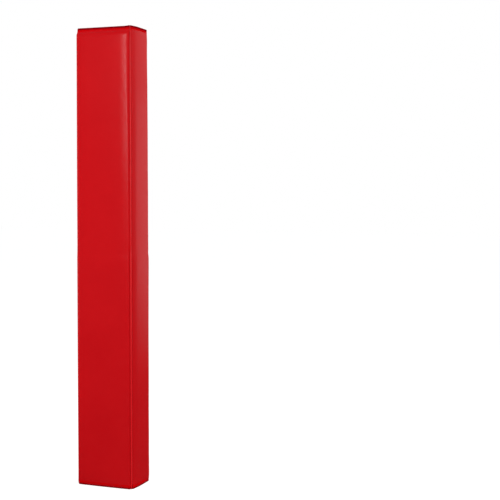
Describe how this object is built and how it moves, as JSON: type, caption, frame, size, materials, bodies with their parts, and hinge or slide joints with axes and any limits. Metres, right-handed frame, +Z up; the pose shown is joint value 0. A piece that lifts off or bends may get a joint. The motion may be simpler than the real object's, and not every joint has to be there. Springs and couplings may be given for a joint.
{
  "type": "basketball pole pad",
  "caption": "Wrap-round safety pad for a square basketball pole: three foam-filled red vinyl panels joined by welted corner seams, closed behind the pole by hook-and-loop straps.",
  "frame": {"origin": "on the floor, at the middle of the pad's width and of its depth, straps included", "axes": "+Z up along the pole, +X to the right as seen from the court, the front face towards -Y"},
  "size_m": [0.2542, 0.1694, 1.829],
  "materials": {
    "vinyl": "satin red PVC-coated fabric",
    "lining": "matte red PVC-coated fabric",
    "foam": "closed-cell foam",
    "webbing": "woven polypropylene webbing",
    "pile": "hook-and-loop tape"
  },
  "bodies": {
    "front_panel": {"front_cover": "vinyl", "front_lining": "lining", "front_top_gusset": "vinyl", "front_bottom_gusset": "vinyl", "front_foam_lower": "foam", "front_foam_upper": "foam", "left_corner_welt": "vinyl", "right_corner_welt": "vinyl"},
    "left_wing": {"left_cover": "vinyl", "left_lining": "lining", "left_top_gusset": "vinyl", "left_bottom_gusset": "vinyl", "left_foam_lower": "foam", "left_foam_upper": "foam", "loop_patch_1": "pile", "loop_patch_2": "pile", "loop_patch_3": "pile", "loop_patch_4": "pile"},
    "right_wing": {"right_cover": "vinyl", "right_lining": "lining", "right_top_gusset": "vinyl", "right_bottom_gusset": "vinyl", "right_foam_lower": "foam", "right_foam_upper": "foam", "strap_anchor_1": "webbing", "strap_anchor_2": "webbing", "strap_anchor_3": "webbing", "strap_anchor_4": "webbing"},
    "free_strap_1": {"strap_1": "webbing", "hook_patch_1": "pile"},
    "free_strap_2": {"strap_2": "webbing", "hook_patch_2": "pile"},
    "free_strap_3": {"strap_3": "webbing", "hook_patch_3": "pile"},
    "free_strap_4": {"strap_4": "webbing", "hook_patch_4": "pile"}
  },
  "joints": [
    {"name": "left_wing_hinge", "type": "hinge", "parent": "front_panel", "child": "left_wing", "pos_m": [-0.1181, -0.07566, 0.9145], "axis": [0, 0, 1], "range_deg": [0, 90]},
    {"name": "right_wing_hinge", "type": "hinge", "parent": "front_panel", "child": "right_wing", "pos_m": [0.1181, -0.07566, 0.9145], "axis": [0, 0, -1], "range_deg": [0, 90]},
    {"name": "strap_hinge_1", "type": "hinge", "parent": "right_wing", "child": "free_strap_1", "pos_m": [0.086, 0.07204, 0.15], "axis": [0, 0, -1], "range_deg": [-2.3, 165]},
    {"name": "strap_hinge_2", "type": "hinge", "parent": "right_wing", "child": "free_strap_2", "pos_m": [0.086, 0.07204, 0.65967], "axis": [0, 0, -1], "range_deg": [-2.3, 165]},
    {"name": "strap_hinge_3", "type": "hinge", "parent": "right_wing", "child": "free_strap_3", "pos_m": [0.086, 0.07204, 1.16933], "axis": [0, 0, -1], "range_deg": [-2.3, 165]},
    {"name": "strap_hinge_4", "type": "hinge", "parent": "right_wing", "child": "free_strap_4", "pos_m": [0.086, 0.07204, 1.679], "axis": [0, 0, -1], "range_deg": [-2.3, 165]}
  ]
}
